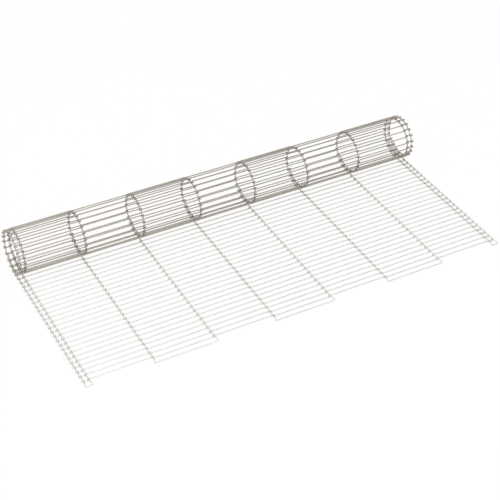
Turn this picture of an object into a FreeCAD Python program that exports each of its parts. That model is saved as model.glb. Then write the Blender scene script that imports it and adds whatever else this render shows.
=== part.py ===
import FreeCAD, Part
import math
import os

# Ladder-type wire conveyor belt, partly rolled up.
# Every strand is one round wire bent to a square wave. It crosses the belt in straight arms, low and high
# by turns, and at each joint line it steps up, runs over its neighbour's arm as a short riser and steps down.
# The low arms of one strand lie in the hooks of the strand in front, so they are the hinge line of the pair.
# X runs across the belt, Y along it towards the roll, Z up. The belt stands on Z = 0.

SPACES = 7
FLAT_STRANDS = 27
ROLLED_STRANDS = 24

V = FreeCAD.Vector
UP = V(0, 0, 1)
ACROSS = V(1, 0, 0)

SIZES = [
    ("strand_pitch", "12.7", "from one hinge line to the next, along the belt"),
    ("wire_dia", "2.08", "round wire"),
    ("space_width", "118", "between two joint lines"),
    ("edge_width", "10", "from the outermost joint line to the edge hooks"),
    ("hook_play", "0.41", "free gap between two arms that are hooked together"),
    ("lift_play", "0.5", "free gap between a riser and the arm under it"),
    ("hook_reach", "2", "how far each hook runs past its joint line"),
    ("end_overrun", "0.6", "how far the cut end of the wire stands past the riser over it"),
    ("roll_radius", "47.5", "hinge lines of the outermost rolled strand"),
    ("turn_gap", "3.2", "free height between one turn of the roll and the next"),
]


def make_sheet(doc):
    """Spreadsheet with one named size to a row."""
    sheet = doc.addObject("Spreadsheet::Sheet", "Sizes")
    for row, (alias, value, note) in enumerate(SIZES, start=1):
        sheet.set(f"A{row}", alias)
        sheet.set(f"B{row}", value)
        sheet.set(f"C{row}", note)
        sheet.setAlias(f"B{row}", alias)
    doc.recompute()
    return sheet


class Strand:
    """Sizes of one strand that follow from the sheet."""

    def __init__(self, sheet):
        self.pitch = float(sheet.strand_pitch)
        self.wire = float(sheet.wire_dia)
        self.reach = float(sheet.hook_reach)
        self.space = float(sheet.space_width)
        self.edge = float(sheet.edge_width)
        self.hook = self.wire + float(sheet.hook_play)
        self.lift = self.wire + float(sheet.lift_play)
        self.bend = self.lift / 2
        self.high = self.pitch + self.hook
        self.overrun = self.reach + self.wire / 2 + float(sheet.end_overrun)

    def joint_lines(self):
        """X of each line where strands hook together, edge hooks included."""
        first = -SPACES * self.space / 2
        inner = [first + number * self.space for number in range(SPACES + 1)]
        return [inner[0] - self.edge] + inner + [inner[-1] + self.edge]

    def corners(self):
        """Corner points of the bent wire, from its left end to its right end."""
        lines = self.joint_lines()
        here, there = self.high, 0.0
        points = [V(lines[0] - self.overrun, here, 0)]
        for line in lines:
            points.append(V(line + self.reach, here, 0))
            points.append(V(line + self.reach, here, self.lift))
            points.append(V(line - self.reach, there, self.lift))
            points.append(V(line - self.reach, there, 0))
            here, there = there, here
        points.append(V(lines[-1] + self.overrun, here, 0))
        return points

    def centre_line(self):
        """Straight runs joined by tangent arcs, one at each corner."""
        points = self.corners()
        edges = []
        start = points[0]
        for before, corner, after in zip(points, points[1:], points[2:]):
            back = (before - corner).normalize()
            ahead = (after - corner).normalize()
            half = back.getAngle(ahead) / 2
            arc_start = corner + back * (self.bend / math.tan(half))
            arc_end = corner + ahead * (self.bend / math.tan(half))
            middle = corner + (back + ahead).normalize() * (self.bend / math.sin(half) - self.bend)
            if (arc_start - start).Length > 1e-6:
                edges.append(Part.LineSegment(start, arc_start).toShape())
            edges.append(Part.Arc(arc_start, middle, arc_end).toShape())
            start = arc_end
        edges.append(Part.LineSegment(start, points[-1]).toShape())
        return Part.Wire(edges)


def make_wire(doc, strand):
    """The one strand shape that the belt repeats: a circle swept along the bent centre line."""
    path = doc.addObject("Part::Feature", "StrandCentreLine")
    path.Shape = strand.centre_line()
    section = doc.addObject("Part::Circle", "WireSection")
    section.setExpression("Radius", "Sizes.wire_dia / 2")
    section.Placement = FreeCAD.Placement(strand.corners()[0], FreeCAD.Rotation(UP, ACROSS))
    wire = doc.addObject("Part::Sweep", "BentWire")
    wire.Sections = [section]
    wire.Spine = (path, [f"Edge{number}" for number in range(1, len(path.Shape.Edges) + 1)])
    wire.Solid = True
    doc.recompute()
    return wire


def hinge_places(sheet, strand):
    """Y, Z and slope of each strand at its hinge line: flat ones first, then those in the roll.

    Each rolled strand turns on the one before by the angle that a chord of one pitch spans on the
    roll's radius at that point. The radius shrinks by one layer of wires and one gap in a full turn.
    The middle of the belt's outline stands over the origin.
    """
    turn_step = strand.lift + strand.wire + float(sheet.turn_gap)
    along = 0.0
    height = strand.wire / 2
    slope = 0.0
    places = []
    rearmost = 0.0
    for number in range(FLAT_STRANDS + ROLLED_STRANDS):
        if number >= FLAT_STRANDS:
            radius = float(sheet.roll_radius) - turn_step * slope / (2 * math.pi)
            slope += 2 * math.asin(strand.pitch / (2 * radius))
        places.append((along, height, slope))
        rearmost = max(rearmost, along, along + strand.high * math.cos(slope))
        along += strand.pitch * math.cos(slope)
        height += strand.pitch * math.sin(slope)
    return [(along - rearmost / 2, height, slope) for along, height, slope in places]


def strand_name(number):
    """Node name: flat strands count from the free end, rolled ones from the floor up."""
    if number < FLAT_STRANDS:
        return f"flat_strand_{number + 1:02d}"
    return f"rolled_strand_{number - FLAT_STRANDS + 1:02d}"


def make_strand(doc, wire, name, place):
    """One strand of the belt: a body based on the bent wire, turned about its hinge line."""
    along, height, slope = place
    body = doc.addObject("PartDesign::Body", name)
    body.Label = name
    base = body.newObject("PartDesign::FeatureBase", f"{name}_wire")
    base.BaseFeature = wire
    body.Tip = base
    body.Placement = FreeCAD.Placement(V(0, along, height), FreeCAD.Rotation(ACROSS, math.degrees(slope)))
    return body


def check(doc, strands):
    """Stops the build if any object failed or any strand isn't one sound solid."""
    for item in doc.Objects:
        if "Invalid" in item.State or "Error" in item.State:
            raise RuntimeError(f"{item.Label} failed: {item.State}")
    for body in strands:
        if body.Shape.isNull() or not body.Shape.isValid() or len(body.Shape.Solids) != 1:
            raise RuntimeError(f"{body.Label} is not one sound solid")


def main():
    """Builds the belt and writes one file for each strand."""
    doc = FreeCAD.newDocument("WireBelt")
    sheet = make_sheet(doc)
    strand = Strand(sheet)
    wire = make_wire(doc, strand)
    places = hinge_places(sheet, strand)
    strands = [make_strand(doc, wire, strand_name(number), place) for number, place in enumerate(places)]
    doc.recompute()
    check(doc, strands)
    os.makedirs("parts", exist_ok=True)
    for body in strands:
        body.Shape.exportStep(f"parts/{body.Label}.step")
    print(len(strands), "strands, wire volume", round(wire.Shape.Volume, 1), "mm3 each")


main()
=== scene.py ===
"""Looks of a ladder-type wire conveyor belt, partly rolled up: drawn stainless strands on a pale floor.

Every strand of the belt is one bent wire. This script makes each of them again as a smooth tube along the
same centre line as the solid that it stands for, with a run of its own for the die lines that drawing leaves
along the wire.
"""

import logging
import math
import random
from dataclasses import dataclass, field, replace
from enum import Enum

import bpy
import numpy as np
from mathutils import Matrix, Quaternion, Vector

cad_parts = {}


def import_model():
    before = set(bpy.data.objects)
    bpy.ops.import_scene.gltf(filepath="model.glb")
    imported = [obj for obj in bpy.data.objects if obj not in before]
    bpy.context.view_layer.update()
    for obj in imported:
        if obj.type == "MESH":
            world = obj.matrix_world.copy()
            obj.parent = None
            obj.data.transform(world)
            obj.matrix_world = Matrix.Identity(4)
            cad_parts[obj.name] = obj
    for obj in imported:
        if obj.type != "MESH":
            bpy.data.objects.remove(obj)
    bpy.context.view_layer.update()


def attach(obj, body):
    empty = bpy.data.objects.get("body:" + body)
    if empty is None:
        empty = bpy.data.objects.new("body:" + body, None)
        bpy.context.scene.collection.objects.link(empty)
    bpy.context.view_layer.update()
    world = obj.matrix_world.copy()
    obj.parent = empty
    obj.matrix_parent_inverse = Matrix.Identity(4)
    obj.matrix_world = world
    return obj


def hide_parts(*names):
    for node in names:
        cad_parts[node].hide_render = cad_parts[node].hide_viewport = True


log = logging.getLogger("wire_belt")

Colour = tuple[float, float, float]
Place = tuple[float, float, float]
Span = tuple[float, float]
PHOTO_PIXELS = 500


class Stretch(Enum):
    """The two stretches of the belt, named as their solids are."""

    FLAT = "flat"
    ROLLED = "rolled"


class NodeBoard:
    """A node tree that is laid out by short calls."""

    def __init__(self, tree: bpy.types.NodeTree) -> None:
        """Takes the node tree of a material or of the world and empties it."""
        self.tree = tree
        tree.nodes.clear()

    def add(self, kind: str, settings: dict | None = None, **inputs: object) -> bpy.types.Node:
        """Adds a node.

        Args:
            kind: the node's type, without the common start of its name.
            settings: properties of the node itself.
            inputs: input sockets by name, with an underscore for each space. A socket is linked, a value
                is set.

        Returns:
            The new node.
        """
        node = self.tree.nodes.new(f"ShaderNode{kind}")
        for name, value in (settings or {}).items():
            setattr(node, name, value)
        for name, value in inputs.items():
            self.feed(node.inputs[name.replace("_", " ")], value)
        return node

    def feed(self, socket: bpy.types.NodeSocket, value: object) -> None:
        """Links a socket to an output, or sets its value.

        Args:
            socket: the input socket.
            value: an output socket or a value. A colour is given without its alpha.
        """
        if isinstance(value, bpy.types.NodeSocket):
            self.tree.links.new(value, socket)
        elif isinstance(value, tuple) and socket.type == "RGBA":
            socket.default_value = (*value, 1.0)
        else:
            socket.default_value = value

    def math(self, operation: str, first: object, second: object) -> bpy.types.NodeSocket:
        """Adds one step of arithmetic.

        Args:
            operation: what is done.
            first: a socket or a value.
            second: a socket or a value.

        Returns:
            The output.
        """
        node = self.tree.nodes.new("ShaderNodeMath")
        node.operation = operation
        self.feed(node.inputs[0], first)
        self.feed(node.inputs[1], second)
        return node.outputs[0]

    def span(self, value: object, source: Span, target: Span) -> bpy.types.NodeSocket:
        """Carries a value smoothly from one span to another.

        Args:
            value: a socket or a value.
            source: the low and high end of its own span.
            target: what they become.

        Returns:
            The output.
        """
        node = self.add("MapRange", {"interpolation_type": "SMOOTHSTEP"}, Value=value)
        node.inputs["From Min"].default_value, node.inputs["From Max"].default_value = source
        node.inputs["To Min"].default_value, node.inputs["To Max"].default_value = target
        return node.outputs["Result"]

    def mix(self, share: object, first: object, second: object, blend: str = "MIX") -> bpy.types.NodeSocket:
        """Mixes two colours.

        Args:
            share: a socket or a value, 0 for the first colour alone.
            first: a socket or a colour.
            second: a socket or a colour.
            blend: how the second is laid over the first.

        Returns:
            The output.
        """
        node = self.add("Mix", {"data_type": "RGBA", "blend_type": blend})
        colours = [socket for socket in node.inputs if socket.type == "RGBA"]
        self.feed(node.inputs["Factor"], share)
        self.feed(colours[0], first)
        self.feed(colours[1], second)
        return next(socket for socket in node.outputs if socket.type == "RGBA")


@dataclass(frozen=True)
class DrawnSteel:
    """Drawn stainless wire with die lines, faint tarnish and worn hooks; painted shade darkens and warms the
    roll.

    The lines follow the map of the wire's run, whose u is metres along the wire and whose v goes once around
    it. A field that ends in span is the stretch of a noise over which the finish goes from one end to the
    other.
    """

    name: str = "drawn_stainless_wire"
    slot: str = "stainless_wire"
    bright: Colour = (0.785, 0.78, 0.75)
    tarnished: Colour = (0.70, 0.69, 0.655)
    worn: Colour = (0.78, 0.765, 0.74)
    # Painted shade of the roll: the steel there is multiplied by this tint, darker and warmer, and its worn
    # hooks take the darker worn colour below.
    roll_shade_tint: Colour = (0.59, 0.545, 0.50)
    roll_shaded_worn: Colour = (0.38, 0.35, 0.32)
    roughness: Span = (0.20, 0.34)
    sheen_span: Span = (0.3, 1.0)
    hook_dullness: float = 0.3
    lines_around: float = 26.0
    lines_along: float = 9.0
    line_detail: float = 3.0
    line_depth: float = 0.00001
    line_strength: float = 0.5
    tarnish_along: float = 35.0
    tarnish_detail: float = 4.0
    tarnish_span: Span = (0.42, 0.75)
    worn_span: Span = (0.2, 0.6)
    worn_share: Span = (0.5, 1.0)

    def material(self, run_map: str, hook_name: str, roll_shade_name: str) -> bpy.types.Material:
        """Builds the finish.

        Args:
            run_map: name of the map that holds the wire's run.
            hook_name: name of the attribute that is 1 in the hooks and 0 on the free arms.
            roll_shade_name: name of the attribute that is 1 in the roll and 0 on the open belt, the share of
                painted shade.

        Returns:
            The material.
        """
        made = bpy.data.materials.new(self.name)
        made.use_nodes = True
        board = NodeBoard(made.node_tree)
        run = board.add("UVMap", {"uv_map": run_map}).outputs["UV"]
        hook = board.add("Attribute", {"attribute_name": hook_name}).outputs["Fac"]
        # Share of the roll's painted shade, 1 in the roll and 0 on the open belt.
        roll_shade = board.add("Attribute", {"attribute_name": roll_shade_name}).outputs["Fac"]
        stretch = (self.lines_along, self.lines_around, 1.0)
        lines_at = board.add("Mapping", Vector=run, Scale=stretch).outputs["Vector"]
        lines = board.add("TexNoise", Vector=lines_at, Scale=1.0, Detail=self.line_detail).outputs["Fac"]
        cloud_at = board.add("Mapping", Vector=run, Scale=(self.tarnish_along, 1.0, 1.0)).outputs["Vector"]
        cloud = board.add("TexNoise", Vector=cloud_at, Scale=1.0, Detail=self.tarnish_detail).outputs["Fac"]
        tarnish = board.span(cloud, self.tarnish_span, (0.0, 1.0))
        steel = board.mix(tarnish, self.bright, self.tarnished)
        worn = board.math("MULTIPLY", hook, board.span(cloud, self.worn_span, self.worn_share))
        open_colour = board.mix(worn, steel, self.worn)
        # Painted shade of the roll: the steel is multiplied darker and warmer, and the worn hooks there are
        # darker still.
        shaded_steel = board.mix(1.0, steel, self.roll_shade_tint, "MULTIPLY")
        colour = board.mix(roll_shade, open_colour, board.mix(worn, shaded_steel, self.roll_shaded_worn))
        sheen = board.math("ADD", lines, board.math("MULTIPLY", hook, self.hook_dullness))
        roughness = board.span(sheen, self.sheen_span, self.roughness)
        bump = board.add("Bump", Height=lines, Distance=self.line_depth, Strength=self.line_strength)
        shader = board.add(
            "BsdfPrincipled",
            Base_Color=colour,
            Metallic=1.0,
            Roughness=roughness,
            Normal=bump.outputs["Normal"],
        )
        board.add("OutputMaterial", Surface=shader.outputs["BSDF"])
        return made


@dataclass(frozen=True)
class PaleFloor:
    """A plain white studio floor, which shows white and keeps a faint shadow."""

    name: str = "pale_floor"
    white: Colour = (0.93, 0.93, 0.93)
    shown_white: float = 0.92

    def material(self) -> bpy.types.Material:
        """Builds the finish.

        Returns:
            The material.
        """
        made = bpy.data.materials.new(self.name)
        made.use_nodes = True
        board = NodeBoard(made.node_tree)
        light = board.add("LightPath").outputs
        mirrored = board.math("MAXIMUM", light["Is Glossy Ray"], light["Is Transmission Ray"])
        seen = board.math("MAXIMUM", light["Is Camera Ray"], mirrored)
        paper = board.add("BsdfDiffuse", Color=self.white).outputs["BSDF"]
        glow = board.add("Emission", Color=(1.0, 1.0, 1.0), Strength=1.0).outputs["Emission"]
        share = board.math("MULTIPLY", seen, self.shown_white)
        mixed = board.add("MixShader", Fac=share)
        board.feed(mixed.inputs[1], paper)
        board.feed(mixed.inputs[2], glow)
        board.add("OutputMaterial", Surface=mixed.outputs["Shader"])
        return made


@dataclass(frozen=True)
class GreyCard:
    """Matt grey board, which gives bright metal something to show."""

    name: str = "grey_card"
    grey: Colour = (0.24, 0.235, 0.23)

    def material(self) -> bpy.types.Material:
        """Builds the finish.

        Returns:
            The material.
        """
        made = bpy.data.materials.new(self.name)
        made.use_nodes = True
        board = NodeBoard(made.node_tree)
        board.add("OutputMaterial", Surface=board.add("BsdfDiffuse", Color=self.grey).outputs["BSDF"])
        return made


@dataclass
class WirePath:
    """A wire's centre line as rings: where each stands, its way, its radius and its row of the map."""

    points: list[Vector] = field(default_factory=list)
    ways: list[Vector] = field(default_factory=list)
    radii: list[float] = field(default_factory=list)
    rows: list[int] = field(default_factory=list)

    def step(self, point: Vector, way: Vector, radius: float, row: int) -> None:
        """Adds a ring.

        Args:
            point: its middle.
            way: the wire's direction there.
            radius: its radius.
            row: its row of the map.
        """
        self.points.append(point)
        self.ways.append(way)
        self.radii.append(radius)
        self.rows.append(row)

    def runs(self) -> np.ndarray:
        """Returns each ring's distance from the wire's start."""
        return np.cumsum([0.0] + [(after - here).length for here, after in zip(self.points, self.points[1:])])

    def sides(self) -> list[tuple[Vector, Vector]]:
        """Carries two directions across the wire along it, with no twist.

        Returns:
            The two directions at each ring.
        """
        across = Vector((0.0, 0.0, 1.0))
        found = []
        for before, way in zip([self.ways[0]] + self.ways, self.ways):
            across = before.rotation_difference(way) @ across
            found.append((across.copy(), way.cross(across)))
        return found

    def vertices(self, ring_sides: int) -> list[Vector]:
        """Returns the points of every ring.

        Args:
            ring_sides: how many points a ring has.

        Returns:
            The points, ring after ring.
        """
        angles = [2 * math.pi * side / ring_sides for side in range(ring_sides)]
        return [
            point + (up * math.cos(angle) + out * math.sin(angle)) * radius
            for point, (up, out), radius in zip(self.points, self.sides(), self.radii)
            for angle in angles
        ]


@dataclass(frozen=True)
class BentWire:
    """One strand of the belt: a round wire bent to a square wave, with a hook at each joint line.

    Its arms cross the belt near and far by turns. At each joint line it steps up, runs over its neighbour's
    arm as a short riser and steps down. Sizes are in metres, in the strand's own frame: X across the belt, Y
    along it.
    """

    diameter: float = 0.00208
    pitch: float = 0.0127
    space: float = 0.118
    spaces: int = 7
    edge: float = 0.010
    hook_play: float = 0.00041
    lift_play: float = 0.0005
    reach: float = 0.002
    end_overrun: float = 0.0006
    hook_fade: float = 0.004
    arm_bow: float = 0.00025
    arm_rings: int = 5
    bend_rings: int = 6
    ring_sides: int = 16
    end_chamfer: float = 0.00025
    run_map: str = "wire_run"
    bake_map: str = "OFBake"
    row_fill: float = 0.9
    cap_share: float = 0.2
    hook_name: str = "hook"
    # Attribute that holds the share of the roll's painted shade.
    roll_shade_name: str = "roll_shade"

    @property
    def radius(self) -> float:
        """Half the wire's thickness."""
        return self.diameter / 2

    @property
    def lift(self) -> float:
        """Height of the risers over the arms."""
        return self.diameter + self.lift_play

    @property
    def far_arm(self) -> float:
        """Distance along the belt from the near arms to the far ones."""
        return self.pitch + self.diameter + self.hook_play

    def joint_lines(self) -> list[float]:
        """Finds the lines where strands hook together, edge hooks included.

        Returns:
            X of each line, from left to right.
        """
        first = -self.spaces * self.space / 2
        inner = [first + number * self.space for number in range(self.spaces + 1)]
        return [inner[0] - self.edge] + inner + [inner[-1] + self.edge]

    def corners(self) -> list[Vector]:
        """Finds the corners of the bent wire, before they are rounded.

        Returns:
            The points, from its left end to its right end.
        """
        lines = self.joint_lines()
        overrun = self.reach + self.radius + self.end_overrun
        here, there = self.far_arm, 0.0
        points = [Vector((lines[0] - overrun, here, 0.0))]
        for line in lines:
            points.append(Vector((line + self.reach, here, 0.0)))
            points.append(Vector((line + self.reach, here, self.lift)))
            points.append(Vector((line - self.reach, there, self.lift)))
            points.append(Vector((line - self.reach, there, 0.0)))
            here, there = there, here
        points.append(Vector((lines[-1] + overrun, here, 0.0)))
        return points

    def path(self, chance: random.Random) -> WirePath:
        """Lays rings along the centre line.

        Args:
            chance: source of the slight bow that each free arm has.

        Returns:
            The path, with a new row of the map after each riser.
        """
        corners = self.corners()
        bend = self.lift / 2
        path = WirePath()
        row = 0
        start = self.lay_tip(path, corners[0], corners[1], row, first=True)
        for before, corner, after in zip(corners, corners[1:], corners[2:]):
            back = (before - corner).normalized()
            ahead = (after - corner).normalized()
            half = back.angle(ahead) / 2
            arc_start = corner + back * (bend / math.tan(half))
            self.lay_arm(path, start, arc_start, row, chance)
            middle = corner + (back + ahead).normalized() * (bend / math.sin(half))
            turn = Quaternion(ahead.cross(back), (math.pi - 2 * half) / self.bend_rings)
            arm, way = arc_start - middle, -back
            if self.ends_riser(before, corner):
                row += 1
            path.step(middle + arm, way, self.radius, row)
            for _ in range(self.bend_rings):
                arm, way = turn @ arm, turn @ way
                path.step(middle + arm, way, self.radius, row)
            start = middle + arm
        self.lay_tip(path, corners[-1], corners[-2], row, first=False)
        return path

    def lay_tip(self, path: WirePath, end: Vector, inside: Vector, row: int, first: bool) -> Vector:
        """Adds the two rings of a cut end, whose rim is broken by a small chamfer.

        Args:
            path: the path to add to.
            end: the wire's end.
            inside: the corner next to it.
            row: the end's row of the map.
            first: whether the wire starts here.

        Returns:
            The end.
        """
        inward = (inside - end).normalized()
        way = inward if first else -inward
        rings = [(end, self.radius - self.end_chamfer), (end + inward * self.end_chamfer, self.radius)]
        for point, radius in rings if first else rings[::-1]:
            path.step(point, way, radius, row)
        return end

    def ends_riser(self, before: Vector, corner: Vector) -> bool:
        """Tells whether a bend ends a riser, after which the map goes on in its next row."""
        return min(before.z, corner.z) > self.lift / 2

    def lay_arm(self, path: WirePath, start: Vector, end: Vector, row: int, chance: random.Random) -> None:
        """Adds the rings between two bends. A short run needs none, and a free arm bows a little.

        Args:
            path: the path to add to.
            start: where the run starts.
            end: where the run ends.
            row: the run's row of the map.
            chance: source of the bow, which goes up and away from the belt's free end.
        """
        run = end - start
        if run.length < self.space / 2:
            return
        bow = Vector((0.0, chance.uniform(0.0, self.arm_bow), chance.uniform(0.0, self.arm_bow)))
        for number in range(1, self.arm_rings + 1):
            share = number / (self.arm_rings + 1)
            lean = math.pi * math.cos(math.pi * share) / run.length
            way = (run.normalized() + bow * lean).normalized()
            path.step(start + run * share + bow * math.sin(math.pi * share), way, self.radius, row)

    def hook_weight(self, x: float) -> float:
        """Returns how worn the wire is at x: 1 in the joint lines' hooks, 0 on free arms and at the edges."""
        nearest = min(abs(x - line) for line in self.joint_lines()[1:-1])
        return min(1.0, max(0.0, 1.0 - (nearest - self.reach) / self.hook_fade))

    def mesh(self, name: str, number: int, roll_shade: float) -> bpy.types.Mesh:
        """Builds the strand as a closed tube.

        Args:
            name: the mesh's name.
            number: the strand's place in the belt, which sets its bow and where its die lines start.
            roll_shade: how much of the roll's painted shade it gets.

        Returns:
            The mesh, in the strand's own frame.
        """
        path = self.path(random.Random(number))
        vertices = path.vertices(self.ring_sides)
        made = bpy.data.meshes.new(name)
        made.from_pydata(vertices, [], self.faces(len(path.points)))
        made.update()
        made.polygons.foreach_set("use_smooth", [True] * len(made.polygons))
        hooks = made.attributes.new(self.hook_name, "FLOAT", "POINT")
        hooks.data.foreach_set("value", [self.hook_weight(vertex.x) for vertex in vertices])
        # Share of the roll's painted shade, the same along the whole strand.
        rolls = made.attributes.new(self.roll_shade_name, "FLOAT", "POINT")
        rolls.data.foreach_set("value", [roll_shade] * len(vertices))
        self.map_run(made, path, number)
        return made

    def faces(self, rings: int) -> list[list[int]]:
        """Joins the rings of a tube and caps its ends.

        Args:
            rings: how many rings the tube has.

        Returns:
            The faces, the two caps last.
        """
        sides = self.ring_sides
        found = []
        for ring in range(rings - 1):
            for side in range(sides):
                beside = (side + 1) % sides
                low, high = ring * sides, (ring + 1) * sides
                found.append([low + side, low + beside, high + beside, high + side])
        found.append(list(range(sides))[::-1])
        found.append([(rings - 1) * sides + side for side in range(sides)])
        return found

    def map_run(self, mesh: bpy.types.Mesh, path: WirePath, number: int) -> None:
        """Writes the wire's two maps: its true run, and the same run folded into rows that fill a square.

        Args:
            mesh: the tube.
            path: the rings that the tube was made of.
            number: the strand's place in the belt.
        """
        sides = self.ring_sides
        runs = path.runs()
        starts = [runs[path.rows.index(row)] for row in range(path.rows[-1] + 1)]
        lengths = np.diff(starts + [runs[-1]])
        margin = self.diameter
        row_length = max(lengths) + 2 * margin
        run_map = mesh.uv_layers.new(name=self.run_map)
        bake_map = mesh.uv_layers.new(name=self.bake_map)
        offset = number * runs[-1]
        for face in mesh.polygons:
            row = path.rows[min(face.vertices) // sides]
            spots = [vertex % sides for vertex in face.vertices]
            is_cap = len(spots) == sides
            closes = set(spots) == {0, sides - 1}
            for loop, vertex, spot in zip(face.loop_indices, face.vertices, spots):
                run = runs[vertex // sides]
                turn = (sides if closes and spot == 0 else spot) / sides
                if is_cap:
                    angle = 2 * math.pi * turn
                    beyond = margin / 2 if run > 0.0 else -margin / 2
                    run += beyond + self.cap_share * margin * math.cos(angle)
                    turn = 0.5 + self.cap_share * math.sin(angle)
                run_map.data[loop].uv = (offset + run, turn)
                along = (run - starts[row] + margin) / row_length
                bake_map.data[loop].uv = (along, (row + self.row_fill * turn) / len(starts))


@dataclass(frozen=True)
class StrandPlace:
    """Where one strand stands: its stretch, its count there and in the whole belt, its hinge line and slope.

    Painted shade darkens it from none on the open belt, with wound at 0, to the roll's full shade, with wound
    at 1.
    """

    stretch: Stretch
    count: int
    number: int
    along: float
    height: float
    slope: float
    roll_shade: float

    @property
    def name(self) -> str:
        """Name of the strand's tube."""
        return f"{self.stretch.value}_wire_{self.count:02d}"

    @property
    def node(self) -> str:
        """Name of the solid that the strand stands for."""
        return f"{self.stretch.value}_strand_{self.count:02d}"

    def matrix(self) -> Matrix:
        """Returns the turn about the hinge line and the move to it."""
        return Matrix.Translation((0.0, self.along, self.height)) @ Matrix.Rotation(self.slope, 4, "X")


@dataclass(frozen=True)
class BeltLine:
    """The belt's course, flat on the floor and then rolled up, in metres.

    Each rolled strand turns on the one before by the angle that a chord of one pitch spans on the roll's
    radius at that point. The radius shrinks by one layer of wires and one gap in a full turn. The roll's
    painted shade fades in over roll_shade_fade strands on each side of the roll's start.
    """

    wire: BentWire
    flat_strands: int = 27
    rolled_strands: int = 24
    roll_radius: float = 0.0475
    turn_gap: float = 0.0032
    roll_shade_fade: int = 5

    def counts(self) -> list[tuple[Stretch, int]]:
        """Returns the stretch of every strand and its count there."""
        sizes = {Stretch.FLAT: self.flat_strands, Stretch.ROLLED: self.rolled_strands}
        return [(stretch, count) for stretch, size in sizes.items() for count in range(1, size + 1)]

    def turn(self, stretch: Stretch, slope: float) -> float:
        """Works out how far a strand turns on the one before.

        Args:
            stretch: the strand's stretch.
            slope: the slope of the strand before.

        Returns:
            The angle, 0 on the flat stretch.
        """
        if stretch is Stretch.FLAT:
            return 0.0
        layer = self.wire.lift + self.wire.diameter + self.turn_gap
        radius = self.roll_radius - layer * slope / (2 * math.pi)
        return 2 * math.asin(self.wire.pitch / (2 * radius))

    def roll_shade(self, number: int) -> float:
        """Returns how much of the roll's painted shade a strand gets, half where the roll starts."""
        roll_start = self.flat_strands - 0.5
        return min(1.0, max(0.0, 0.5 + (number - roll_start) / (2 * self.roll_shade_fade)))

    def places(self) -> list[StrandPlace]:
        """Follows the belt from its free end, and puts the middle of its outline over the origin.

        Returns:
            Every strand's place.
        """
        along, height, slope = 0.0, self.wire.radius, 0.0
        rearmost = 0.0
        found = []
        for number, (stretch, count) in enumerate(self.counts()):
            slope += self.turn(stretch, slope)
            found.append(StrandPlace(stretch, count, number, along, height, slope, self.roll_shade(number)))
            rearmost = max(rearmost, along, along + self.wire.far_arm * math.cos(slope))
            along += self.wire.pitch * math.cos(slope)
            height += self.wire.pitch * math.sin(slope)
        return [replace(place, along=place.along - rearmost / 2) for place in found]


@dataclass
class BeltStretch:
    """One stretch of the belt: its strands, hooked one into the next."""

    wire: BentWire
    finish: DrawnSteel
    steel: bpy.types.Material
    places: list[StrandPlace]

    def build(self) -> list[bpy.types.Object]:
        """Returns the stretch's strands, each made, dressed and riding on its body."""
        return [self.strand(place) for place in self.places]

    def strand(self, place: StrandPlace) -> bpy.types.Object:
        """Makes one strand, dresses it and lets it ride on its body.

        Args:
            place: where it stands.

        Returns:
            The strand's object.
        """
        mesh = self.wire.mesh(place.name, place.number, place.roll_shade)
        mesh.transform(place.matrix())
        mesh.materials.append(self.steel)
        made = bpy.data.objects.new(place.name, mesh)
        bpy.context.scene.collection.objects.link(made)
        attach(made, place.node)
        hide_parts(place.node)
        log.info("%s stands for %s", place.name, place.node)
        return made


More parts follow.
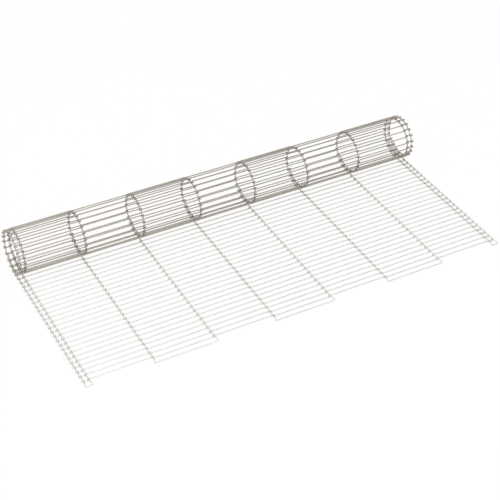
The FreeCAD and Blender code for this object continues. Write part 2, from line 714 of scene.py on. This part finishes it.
@dataclass
class Studio:
    """White floor in a white room, a soft lamp, and a grey card behind that only reflections show.

    The card's ends are across the belt. Its foot and top are given along the belt and up.
    """

    floor_finish: PaleFloor
    card_finish: GreyCard
    floor_side: float = 8.0
    room_white: Colour = (1.0, 0.995, 0.985)
    room_level: float = 1.0
    card_ends: Span = (0.5, 3.0)
    card_foot: Span = (1.3, 0.1)
    card_top: Span = (1.3, 1.5)
    box_side: float = 1.6
    box_watts: float = 8.0
    box_place: Place = (-0.5, -0.9, 1.7)

    def build(self) -> None:
        """Makes the floor, the card, the room and the lamp."""
        self.floor()
        self.card()
        self.room()
        self.soft_box()

    def floor(self) -> None:
        """Lays the floor just under the belt."""
        half = self.floor_side / 2
        corners = [(-half, -half, 0.0), (half, -half, 0.0), (half, half, 0.0), (-half, half, 0.0)]
        self.stand("floor", corners, self.floor_finish.material())

    def card(self) -> None:
        """Stands the card behind the belt, out of sight of the camera and of the floor."""
        left, right = self.card_ends
        foot = [(left, *self.card_foot), (right, *self.card_foot)]
        top = [(right, *self.card_top), (left, *self.card_top)]
        made = self.stand("grey_card", foot + top, self.card_finish.material())
        made.visible_camera = False
        made.visible_diffuse = False

    def stand(self, name: str, corners: list[Place], finish: bpy.types.Material) -> bpy.types.Object:
        """Makes one flat piece of the studio.

        Args:
            name: the piece's name.
            corners: its four corners.
            finish: its material.

        Returns:
            The piece.
        """
        mesh = bpy.data.meshes.new(name)
        mesh.from_pydata(corners, [], [[0, 1, 2, 3]])
        mesh.materials.append(finish)
        made = bpy.data.objects.new(name, mesh)
        bpy.context.scene.collection.objects.link(made)
        log.info("%s stands in the studio", name)
        return made

    def room(self) -> None:
        """Surrounds the belt with an evenly lit white room."""
        world = bpy.data.worlds.new("studio")
        world.use_nodes = True
        bpy.context.scene.world = world
        board = NodeBoard(world.node_tree)
        light = board.add("Background", Color=self.room_white, Strength=self.room_level)
        board.add("OutputWorld", Surface=light.outputs["Background"])

    def soft_box(self) -> None:
        """Hangs one large lamp over the belt's free end."""
        lamp = bpy.data.lights.new("soft_box", "AREA")
        lamp.shape = "SQUARE"
        lamp.size = self.box_side
        lamp.energy = self.box_watts
        made = bpy.data.objects.new("soft_box", lamp)
        made.location = self.box_place
        made.rotation_euler = (-Vector(self.box_place)).to_track_quat("-Z", "Y").to_euler()
        bpy.context.scene.collection.objects.link(made)


@dataclass
class Viewpoint:
    """The camera, as fitted to the joint lines in the photograph. Angles are in degrees, places in metres."""

    azimuth: float = -118.98
    elevation: float = 37.97
    roll: float = 0.95
    distance: float = 2.4777
    focal_pixels: float = 1309.6
    target: Place = (-0.00463, 0.00829, 0.00104)

    def build(self) -> None:
        """Makes the camera and gives it to the scene."""
        turn, rise = math.radians(self.azimuth), math.radians(self.elevation)
        flat = math.cos(rise)
        back = Vector((flat * math.cos(turn), flat * math.sin(turn), math.sin(rise)))
        right = (-back).cross(Vector((0.0, 0.0, 1.0))).normalized()
        up = back.cross(right)
        lean = math.radians(self.roll)
        across = right * math.cos(lean) + up * math.sin(lean)
        above = up * math.cos(lean) - right * math.sin(lean)
        lens = bpy.data.cameras.new("camera")
        lens.lens = self.focal_pixels / PHOTO_PIXELS * lens.sensor_width
        made = bpy.data.objects.new("camera", lens)
        turned = Matrix((across, above, back)).transposed().to_4x4()
        made.matrix_world = Matrix.Translation(Vector(self.target) + back * self.distance) @ turned
        bpy.context.scene.collection.objects.link(made)
        bpy.context.scene.camera = made


def main() -> None:
    """Builds the belt and its studio."""
    logging.basicConfig(level=logging.INFO, format="%(name)s: %(message)s")
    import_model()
    wire = BentWire()
    finish = DrawnSteel()
    steel = finish.material(wire.run_map, wire.hook_name, wire.roll_shade_name)
    places = BeltLine(wire).places()
    for stretch in Stretch:
        there = [place for place in places if place.stretch is stretch]
        strands = BeltStretch(wire, finish, steel, there).build()
        log.info("%s stretch has %d strands", stretch.value, len(strands))
    Studio(PaleFloor(), GreyCard()).build()
    Viewpoint().build()
    bpy.context.scene.view_settings.view_transform = "Standard"


if __name__ == "__main__":
    main()
